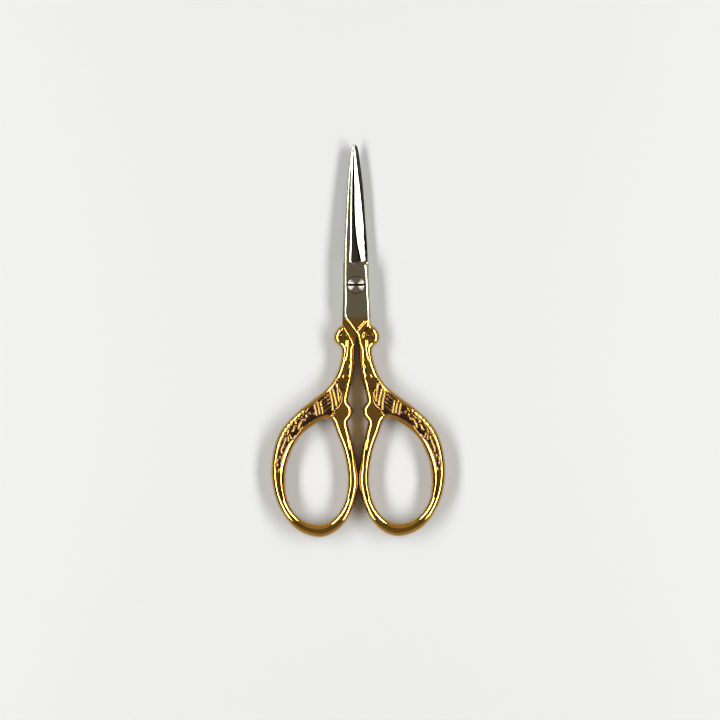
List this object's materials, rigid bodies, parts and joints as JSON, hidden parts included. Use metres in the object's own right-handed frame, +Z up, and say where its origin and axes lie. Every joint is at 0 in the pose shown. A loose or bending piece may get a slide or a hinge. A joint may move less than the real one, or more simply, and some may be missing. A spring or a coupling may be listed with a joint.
{
  "type": "embroidery scissors",
  "caption": "Small pointed embroidery scissors with gold ornamental bird-form handles, oval finger bows and a slotted pivot screw; the blades open and close.",
  "frame": {"origin": "on the pivot axis, at the level of the surface the scissors lie on", "axes": "+Y along the closed blades to the tips, +Z up out of the surface, the screw's head on top, +X to the finger bow of the upper half"},
  "size_m": [0.0398, 0.09, 0.0045],
  "materials": {
    "lower_forging": "polished plating, gold on the handle and nickel on the blade",
    "upper_forging": "polished plating, gold on the handle and nickel on the blade",
    "screw_steel": "turned, bright nickel plate"
  },
  "bodies": {
    "lower_scissor": {"lower_half": "lower_forging", "pivot_screw": "screw_steel"},
    "upper_scissor": {"upper_half": "upper_forging"}
  },
  "joints": [
    {"name": "pivot", "type": "hinge", "parent": "lower_scissor", "child": "upper_scissor", "pos_m": [0, 0, 0.0019], "axis": [0, 0, 1], "range_deg": [0, 140]}
  ]
}
